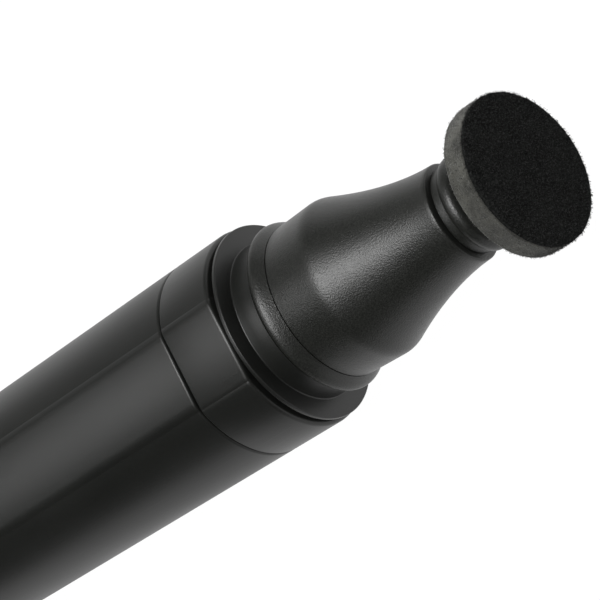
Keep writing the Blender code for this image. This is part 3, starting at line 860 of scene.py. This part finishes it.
def make_bell():
    """Straight band, soft crease and hollow taper up to the mouth."""
    rear, front, _ = span("tip_bell")
    band_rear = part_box("cap_snap_ring")[1].x - SEAM_X + FIT / 2
    steps = 60

    def taper(station):
        share = max(0.0, (station - CREASE) / (front - CREASE))
        hollow = BELL_TIP_R + (CREASE_R - BELL_TIP_R) * (1 - share) ** BELL_CURVE
        band = BAND_R + (CREASE_R - BAND_R) * (station - band_rear) / (CREASE - band_rear)
        ahead = CREASE_R - (station - CREASE) * BELL_CURVE * (CREASE_R - BELL_TIP_R) / (front - CREASE)
        return soft_min(band, hollow if station > CREASE else ahead, 0.22 * MM)

    edge = 0.16 * MM
    stations = [front - edge + (band_rear - front + 2 * edge) * step / steps for step in range(steps + 1)]
    tip = taper(front)
    outline = [
        *arc((front - edge, tip - edge), edge, 0, 75, 4),
        *[(station, taper(station)) for station in stations[1:]],
        (band_rear + 0.05 * MM, taper(band_rear)),
        (band_rear, taper(band_rear) - 0.05 * MM),
        (band_rear, BELL_REAR_R - FIT),
        (rear, BELL_REAR_R - FIT),
        (rear, SPIGOT_R + FIT),
        (BELL_BORE_STEP, SPIGOT_R + FIT),
        (BELL_BORE_END, CORE_R + FIT),
        (front, CORE_R + FIT),
    ]
    bell = turned("bell", outline, GRAINED)
    finish_piece(bell, "barrel", "black_grained_plastic", "tip_bell")


def make_mouth_bead():
    rear, front, radius = span("tip_bead")
    half = (front - BEAD_CROWN_REAR) / 2
    bore = NOSE_R + FIT
    dish_start = math.degrees(math.acos((front - PIVOT) / CUP_SEAT_R))
    dish_end = 180 - math.degrees(math.asin(bore / CUP_SEAT_R))
    crown_end = 180 - math.degrees(math.asin((GROOVE_R - radius + half) / half))
    outline = [
        *arc(((front + BEAD_CROWN_REAR) / 2, radius - half), half, 0, crown_end, 20),
        (rear + 0.05 * MM, GROOVE_R),
        (rear, GROOVE_R - 0.05 * MM),
        (rear, bore),
        *arc((PIVOT, 0), CUP_SEAT_R, dish_end, dish_start, 8),
    ]
    bead = turned("mouth_bead", outline, GRAINED)
    finish_piece(bead, "barrel", "black_grained_plastic", "tip_bead")


def make_stud():
    rear, front, radius = span("ball_stud")
    stem = 0.7 * MM
    neck_turn = 180 - math.degrees(math.asin(stem / radius))
    ball = arc((PIVOT, 0), radius, 0, neck_turn, 24)
    outline = [(front, 0.0), *ball[1:], (rear + 0.15 * MM, stem), (rear, stem - 0.15 * MM), (rear, 0.0)]
    stud = turned("stud", outline, STEEL, sides=48)
    finish_piece(stud, "barrel", "polished_steel", "ball_stud")


def make_sleeve():
    rear, front, radius = span("guide_sleeve")
    inner = 5.9 * MM
    edge = 0.08 * MM
    outline = rounded([
        (front, radius, edge),
        (rear, radius, edge),
        (rear, inner, edge),
        (front, inner, edge),
    ], 3)
    sleeve = turned("sleeve", outline, ACETAL, sides=FINE)
    centre, length, width = slider_slot()
    wider = 2 * SLOT_PLAY
    cutter = slot_cutter("sleeve_cutter", centre, length + wider, width + wider, low=4 * MM, top=radius)
    combine(sleeve, cutter, "DIFFERENCE")
    finish_piece(sleeve, "barrel", "white_acetal", "guide_sleeve")


def make_nose_ring():
    rear, front, radius = span("rear_nose_ring")
    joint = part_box("barrel_shell")[0].x - SEAM_X - SEAM
    mouth = 4.7 * MM
    round_off = 2.2 * MM
    lip = 0.3 * MM
    spigot_bore = 5.6 * MM
    edge = 0.1 * MM
    outline = [
        (joint, radius - edge),
        (joint - edge, radius),
        *arc((rear + round_off, radius - round_off), round_off, 90, 180, 16),
        *arc((rear + lip, mouth + lip), lip, 180, 270, 6),
        (joint - 0.5 * MM, mouth),
        (joint + 0.4 * MM, spigot_bore),
        (front, spigot_bore),
        (front, BORE - FIT),
        (joint, BORE - FIT),
    ]
    ring = turned("nose_ring", outline, FLATTED, flats=Flats(radius, FLAT_HEIGHT))
    finish_piece(ring, "barrel", "black_satin_plastic", "rear_nose_ring")


def make_carriage():
    low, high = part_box("brush_carriage")
    rear, front, radius = span("brush_carriage")
    socket_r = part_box("brush_ferrule")[1].y + 0.05 * MM
    socket_end = rear + SOCKET_DEPTH
    edge = 0.4 * MM
    outline = [
        (front, 0.0),
        *arc((front - edge, radius - edge), edge, 0, 90, 5),
        *arc((rear + edge, radius - edge), edge, 90, 180, 5),
        (rear, socket_r),
        (socket_end, socket_r),
        (socket_end, 0.0),
    ]
    carriage = turned("carriage", outline, NYLON, sides=FINE)
    centre = (low.x + high.x) / 2
    post_foot = 4.5 * MM
    top = high.z - AXIS_Z
    bevel = 0.1 * MM
    post = stacked("post", layered_stadium(centre, [
        (post_foot, POST_LENGTH, POST_WIDTH),
        (top - bevel, POST_LENGTH, POST_WIDTH),
        (top, POST_LENGTH - 2 * bevel, POST_WIDTH - 2 * bevel),
    ]))
    combine(carriage, post, "UNION")
    pocket_length, pocket_width = 10.0 * MM, 3.0 * MM
    pocket_mouth = -7 * MM
    pocket = stacked("pocket", layered_stadium(centre, [
        (pocket_mouth, pocket_length, pocket_width),
        (SPRING_SEAT, pocket_length, pocket_width),
    ]))
    combine(carriage, pocket, "DIFFERENCE")
    finish_piece(carriage, "brush", "black_nylon", "brush_carriage")


def make_slider():
    """Thumb button: rounded rim, a long shallow dish along the top and ribs across it."""
    low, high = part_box("thumb_slider")
    bottom, top = low.z - AXIS_Z, high.z - AXIS_Z
    length, width = high.x - low.x, high.y - low.y
    centre = (low.x + high.x) / 2
    foot = 0.15 * MM
    rim = 0.7 * MM
    dish = 0.35 * MM
    dish_edge = 0.5 * MM
    dish_slope = 2.2 * MM
    rib_sink = 0.12 * MM
    steps = 8
    layers = [(bottom, length - 2 * foot, width - 2 * foot), (bottom + foot, length, width)]
    for step in range(steps + 1):
        a = math.pi / 2 * step / steps
        inset = 2 * rim * (1 - math.cos(a))
        layers.append((top - rim + rim * math.sin(a), length - inset, width - inset))
    for step in range(1, steps + 1):
        share = step / steps
        inset = 2 * rim + dish_edge + dish_slope * share
        layers.append((top - dish * math.sin(share * math.pi / 2) ** 2, length - inset, width - inset))
    button = stacked("slider_button", layered_stadium(centre, layers, 20), SATIN)
    pocket_length, pocket_width = POST_LENGTH + 2 * FIT, POST_WIDTH + 2 * FIT
    pocket = stacked("post_pocket", layered_stadium(centre, [
        (bottom - MM, pocket_length, pocket_width),
        (bottom + POST_IN_SLIDER + FIT, pocket_length, pocket_width),
    ]))
    combine(button, pocket, "DIFFERENCE")
    sizes = {
        "Middle X": centre,
        "Top Z": high.z - dish - rib_sink,
        "Pitch": 1.3 * MM,
        "Count": 6,
        "Width": width - 2.5 * MM,
        "Rib Radius": 0.36 * MM,
    }
    run_tree(button, rib_tree(sizes), sizes)
    smooth(button.data, 45)
    finish_piece(button, "brush", "black_satin_plastic", "thumb_slider")


def make_ferrule():
    """Spun tube with two rolled crimps and a curled mouth."""
    rear, front, radius = span("brush_ferrule")
    wall = 0.3 * MM
    crimps = (-54.0 * MM, -56.5 * MM)
    depth = 0.15 * MM
    reach = 0.3 * MM
    steps = 90

    def sink(station):
        return sum(depth * math.exp(-(((station - crimp) / reach) ** 2)) for crimp in crimps)

    stations = [front + (rear - front) * step / steps for step in range(steps + 1)]
    outer = [(station, radius - sink(station)) for station in stations]
    inner = [(station, radius - wall - sink(station)) for station in reversed(stations)]
    outer[0] = (front, radius - 0.05 * MM)
    outer[-1] = (rear, radius - 0.08 * MM)
    ferrule = turned("ferrule", outer + inner, NICKEL, sides=FINE)
    finish_piece(ferrule, "brush", "nickelled_brass", "brush_ferrule")


def make_hair():
    low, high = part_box("brush_tuft")
    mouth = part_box("brush_ferrule")[0].x
    root_x = high.x
    disc = bpy.data.meshes.new("hair_root")
    form = bmesh.new()
    bmesh.ops.create_circle(form, cap_ends=True, segments=48, radius=HAIR_ROOT_R)
    place = Matrix.Translation((root_x, 0, AXIS_Z)) @ Matrix.Rotation(math.pi / 2, 4, "Y")
    bmesh.ops.transform(form, matrix=place, verts=form.verts)
    form.to_mesh(disc)
    form.free()
    tuft = new_piece("hair_tuft", disc)
    sizes = {
        "Density": HAIR_COUNT / (math.pi * HAIR_ROOT_R**2),
        "Root Radius": HAIR_ROOT_R,
        "Length": root_x - low.x,
        "Mouth X": mouth,
        "Swell": (high.y - low.y) / 2 / HAIR_ROOT_R - 1.0,
        "Disorder": 0.6 * MM,
        "Thickness": 0.085 * MM,
        "Seed": 4,
    }
    run_tree(tuft, hair_tree(sizes), sizes)
    smooth(tuft.data, 80)
    finish_piece(tuft, "brush", "goat_hair", "brush_tuft")


def make_pad_carrier():
    plate_front = PAD_BACK - FIT / 2
    dome_end = math.degrees(math.acos(plate_front / CUP_OUTER_R))
    cup_start = math.degrees(math.acos(PLATE_BACK / CUP_OUTER_R))
    edge = (plate_front - PLATE_BACK) / 2
    outline = [
        (CUP_OUTER_R, 0.0),
        *arc((0, 0), CUP_OUTER_R, 0, dome_end, 10)[1:],
        *arc((PLATE_BACK + edge, PLATE_R - edge), edge, 0, 180, 10),
        *arc((0, 0), CUP_OUTER_R, cup_start, CUP_LIP, 14),
        *arc((0, 0), CUP_INNER_R, CUP_LIP, 0, 24)[:-1],
        (CUP_INNER_R, 0.0),
    ]
    carrier = turned("pad_plate", outline, NYLON, ALONG_PAD, FINE)
    finish_piece(carrier, "pad", "black_nylon", "pad_carrier")


FUZZ_SIZES = {"Density": 6.5e7, "Length": 0.15 * MM, "Thickness": 0.026 * MM, "Lean": 1.3, "Seed": 7}
NAP_SIZES = {"Density": 8.5e7, "Length": 0.2 * MM, "Thickness": 0.036 * MM, "Lean": 1.1, "Seed": 9}


def make_felt_puck():
    """Felt disc cut from sheet: soft edges, a slightly uneven side, and matted fibres on it."""
    front = PAD_FRONT - FACE_THICKNESS
    radius = PAD_R - 0.05 * MM
    pocket_r, pocket_end = 1.85 * MM, 2.3 * MM
    front_edge = 0.1 * MM
    rear_edge = 0.16 * MM
    side_front = front - 0.14 * MM
    side_length = front - PAD_BACK - 0.3 * MM
    side = [(side_front - side_length * step / 12, radius) for step in range(13)]
    outline = [
        (front, 0.0),
        *[(front, radius * share) for share in (0.3, 0.6, 0.85)],
        *arc((front - front_edge, radius - front_edge), front_edge, 0, 90, 5),
        *side,
        *arc((PAD_BACK + rear_edge, radius - rear_edge), rear_edge, 90, 180, 6),
        *[(PAD_BACK, radius * share) for share in (0.9, 0.7, 0.5)],
        (PAD_BACK, pocket_r),
        (pocket_end, pocket_r),
        (pocket_end, 0.0),
    ]

    def uneven(x, r, angle):
        if r < radius - 0.2 * MM:
            return x, r
        spot = Vector((x / MM * 1.6, 2.2 * math.cos(angle) * 3, 2.2 * math.sin(angle) * 3))
        lump = noise.noise(spot) * 0.6 + noise.noise(spot * 3.1) * 0.4
        return x, r + min(0.055, 0.07 * lump) * MM

    puck = turned("felt_puck", outline, FELT, ALONG_PAD, 180, shape=uneven)
    mark_growth(puck, lambda x, r: 1.0 if r > radius - 0.25 * MM else 0.0)
    run_tree(puck, fibre_tree("felt_fibres", FUZZ_SIZES, FELT, FUZZ, 4), FUZZ_SIZES)
    smooth(puck.data, 60)
    finish_piece(puck, "pad", "grey_felt", "pad_backing")


def make_chamois_face():
    """Chamois disc with a gently uneven napped face and a slightly frayed edge."""
    front, rear = PAD_FRONT - 0.03 * MM, PAD_FRONT - FACE_THICKNESS + 0.01 * MM
    front_edge = 0.09 * MM
    rear_edge = 0.08 * MM
    rings = 22
    flat = [(front, FACE_R * share / rings * 0.98) for share in range(1, rings + 1)]
    outline = [
        (front, 0.0),
        *flat,
        *arc((front - front_edge, FACE_R - front_edge), front_edge, 10, 90, 5),
        (rear + rear_edge, FACE_R),
        (rear, FACE_R - rear_edge),
        (rear, 0.0),
    ]

    def uneven(x, r, angle):
        spot = Vector((0.5, r / MM * math.cos(angle), r / MM * math.sin(angle)))
        wave = noise.noise(spot * 0.9) * 0.6 + noise.noise(spot * 3.3) * 0.4
        lift = 0.03 * MM * wave if x > rear + 0.2 * MM else 0.0
        ragged = 0.05 * MM * noise.noise(spot * 4.1) if r > FACE_R * 0.95 else 0.0
        return x + lift, min(r + ragged, FACE_R + 0.03 * MM)

    face = turned("chamois_face", outline, CHAMOIS, ALONG_PAD, 180, shape=uneven)
    mark_growth(face, lambda x, r: 1.0 if x > rear + 0.1 * MM else 0.0)
    run_tree(face, fibre_tree("chamois_fibres", NAP_SIZES, CHAMOIS, NAP, 3), NAP_SIZES)
    smooth(face.data, 60)
    finish_piece(face, "pad", "black_chamois", "cleaning_pad")


def finish_kept_nodes():
    """CAD pieces whose shape is right keep it and get their finish."""
    finishes = {
        "bulkhead_plug": NYLON,
        "tip_core": NYLON,
        "pivot_liner": ACETAL,
        "detent_spring": SPRING,
        "ferrule_plug": RESIN,
    }
    for name, material in finishes.items():
        mesh = frame["nodes"][name].data
        mesh.materials.clear()
        mesh.materials.append(material)


# Floor, light and camera

LIGHT_DISTANCE = 0.6
FLOOR_HALF_SIZE = 3.0
CAMERA_FROM_SEAM = Vector((0.086072, -0.023006, 0.11804))
CAMERA_RIGHT = Vector((0.69882, -0.44588, -0.55934))
CAMERA_BACK = Vector((0.54917, -0.16661, 0.81893))


def make_floor():
    size = FLOOR_HALF_SIZE
    mesh = bpy.data.meshes.new("light_table")
    corners = [(-size, -size, 0), (size, -size, 0), (size, size, 0), (-size, size, 0)]
    mesh.from_pydata(corners, [], [(0, 1, 2, 3)])
    glow = {"Emission Color": (1, 1, 1, 1), "Emission Strength": 1.0, "Specular IOR Level": 0.0}
    floor = new_piece("light_table", mesh, make_material("opal_sheet", glow, floor_paint))


def make_light(name, direction, size, brightness):
    """A soft box that shines on the collar from a direction, equally bright all over."""
    data = bpy.data.lights.new(name, "AREA")
    data.shape = "RECTANGLE"
    data.size, data.size_y = size
    data.energy = brightness * math.pi * data.size * data.size_y
    lamp = bpy.data.objects.new(name, data)
    way = Vector(direction).normalized()
    lamp.location = Vector((SEAM_X, 0, AXIS_Z)) + way * LIGHT_DISTANCE
    lamp.rotation_euler = way.to_track_quat("Z", "Y").to_euler()
    bpy.context.scene.collection.objects.link(lamp)


def make_camera():
    data = bpy.data.cameras.new("view")
    data.lens = 120
    data.sensor_width = 36
    data.clip_start = 0.005
    camera = bpy.data.objects.new("view", data)
    right = CAMERA_RIGHT.normalized()
    back = CAMERA_BACK.normalized()
    upward = back.cross(right).normalized()
    right = upward.cross(back)
    turn = Matrix((right, upward, back)).transposed().to_4x4()
    place = Vector((SEAM_X, 0, AXIS_Z)) + CAMERA_FROM_SEAM
    camera.matrix_world = Matrix.Translation(place) @ turn
    bpy.context.scene.collection.objects.link(camera)
    bpy.context.scene.camera = camera


def make_surroundings():
    world = bpy.data.worlds.new("studio")
    world.use_nodes = True
    world.node_tree.nodes["Background"].inputs["Color"].default_value = (0.008, 0.008, 0.008, 1)
    bpy.context.scene.world = world
    bpy.context.scene.view_settings.view_transform = "Standard"
    make_floor()
    make_light("key", (0.22, 0.17, 0.95), (0.3, 0.32), 19.0)
    make_light("wide_rear", (-0.52, 0.19, 0.84), (0.3, 0.22), 4.2)
    make_light("side_fill", (-0.4, 0.85, 0.3), (0.3, 0.3), 0.6)


make_barrel()
make_collar()
make_neck()
make_snap_bead()
make_bell()
make_mouth_bead()
make_stud()
make_sleeve()
make_nose_ring()
make_carriage()
make_slider()
make_ferrule()
make_hair()
make_pad_carrier()
make_felt_puck()
make_chamois_face()
finish_kept_nodes()
make_surroundings()
make_camera()
